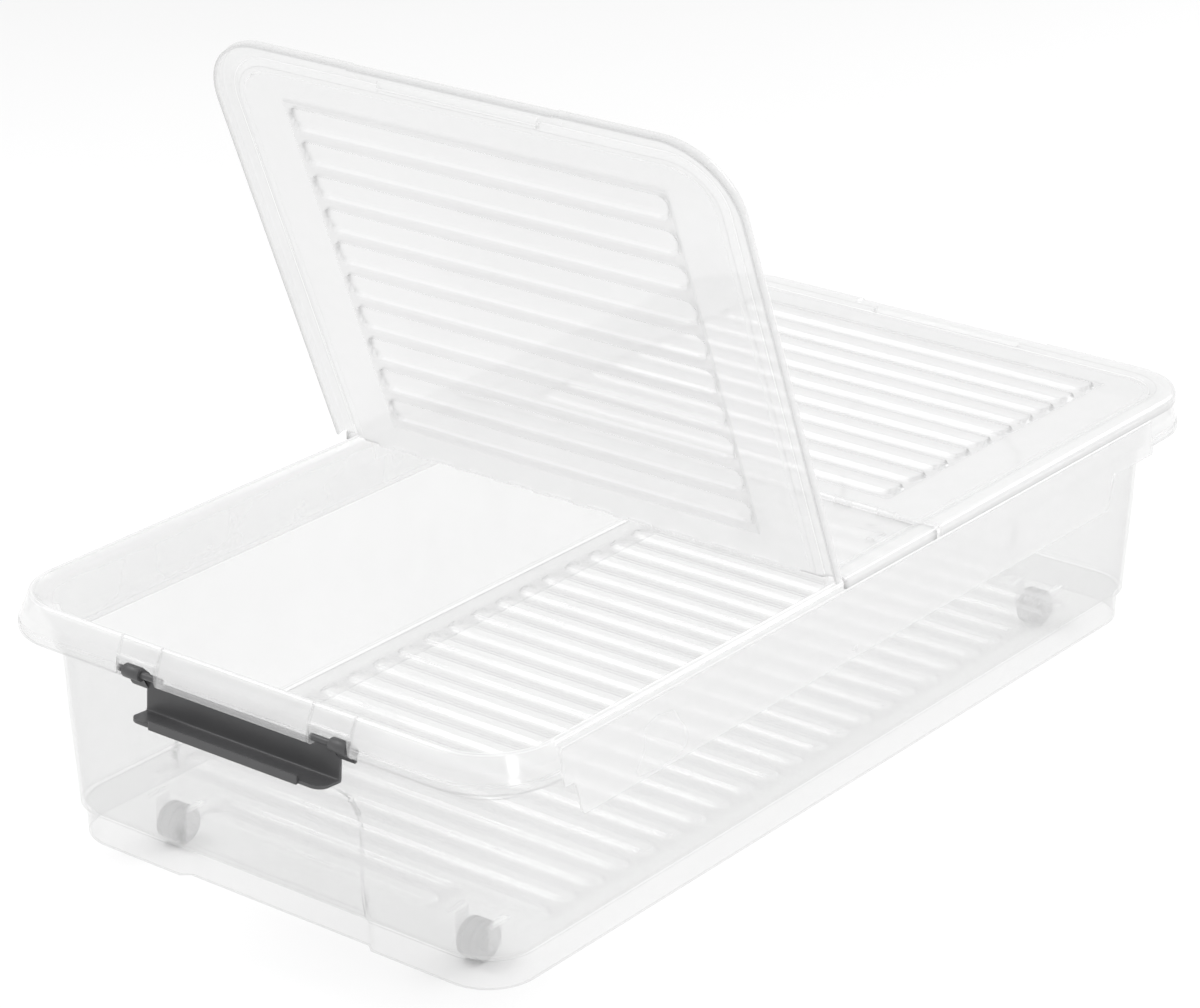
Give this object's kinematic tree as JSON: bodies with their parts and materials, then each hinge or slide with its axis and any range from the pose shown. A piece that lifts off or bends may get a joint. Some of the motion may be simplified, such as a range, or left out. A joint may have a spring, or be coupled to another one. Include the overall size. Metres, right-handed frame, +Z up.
{
  "type": "under bed box",
  "caption": "Shallow clear storage box that rolls under a bed, with a lid that folds open from the middle and a hook-over latch at the front.",
  "frame": {"origin": "on the floor under the wheels, at the middle of the box's width and length", "axes": "+X across the box to the right when facing the latch, +Y along the box from the latched front end to the rear end, +Z up"},
  "size_m": [0.4196, 0.7909, 0.4914],
  "materials": {
    "clear_plastic": "smooth translucent polypropylene with a faint milky haze",
    "dark_plastic": "satin dark grey moulded plastic",
    "grey_plastic": "satin mid grey moulded plastic"
  },
  "bodies": {
    "tub": {"tub": "clear_plastic"},
    "lid_bridge": {"lid_bridge": "clear_plastic"},
    "front_lid_panel": {"front_lid_panel": "clear_plastic"},
    "rear_lid_panel": {"rear_lid_panel": "clear_plastic"},
    "front_latch": {"front_latch": "dark_plastic"},
    "wheel_front_left": {"wheel_front_left": "grey_plastic"},
    "wheel_front_right": {"wheel_front_right": "grey_plastic"},
    "wheel_rear_left": {"wheel_rear_left": "grey_plastic"},
    "wheel_rear_right": {"wheel_rear_right": "grey_plastic"}
  },
  "joints": [
    {"name": "lid_lift", "type": "slide", "parent": "tub", "child": "lid_bridge", "axis": [0, 0, 1], "range_m": [0, 0.2]},
    {"name": "front_lid_hinge", "type": "hinge", "parent": "lid_bridge", "child": "front_lid_panel", "pos_m": [0, -0.054, 0.1804], "axis": [-1, 0, 0], "range_deg": [-68.3, 26.7]},
    {"name": "rear_lid_hinge", "type": "hinge", "parent": "lid_bridge", "child": "rear_lid_panel", "pos_m": [0, 0.054, 0.1804], "axis": [1, 0, 0], "range_deg": [0, 95]},
    {"name": "front_latch_hinge", "type": "hinge", "parent": "tub", "child": "front_latch", "pos_m": [0, -0.386, 0.157], "axis": [-1, 0, 0], "range_deg": [0, 176]},
    {"name": "wheel_front_left_spin", "type": "hinge", "parent": "tub", "child": "wheel_front_left", "pos_m": [-0.1243, -0.3126, 0.013], "axis": [1, 0, 0], "continuous": true},
    {"name": "wheel_front_right_spin", "type": "hinge", "parent": "tub", "child": "wheel_front_right", "pos_m": [0.1243, -0.3126, 0.013], "axis": [1, 0, 0], "continuous": true},
    {"name": "wheel_rear_left_spin", "type": "hinge", "parent": "tub", "child": "wheel_rear_left", "pos_m": [-0.1243, 0.3126, 0.013], "axis": [1, 0, 0], "continuous": true},
    {"name": "wheel_rear_right_spin", "type": "hinge", "parent": "tub", "child": "wheel_rear_right", "pos_m": [0.1243, 0.3126, 0.013], "axis": [1, 0, 0], "continuous": true}
  ]
}
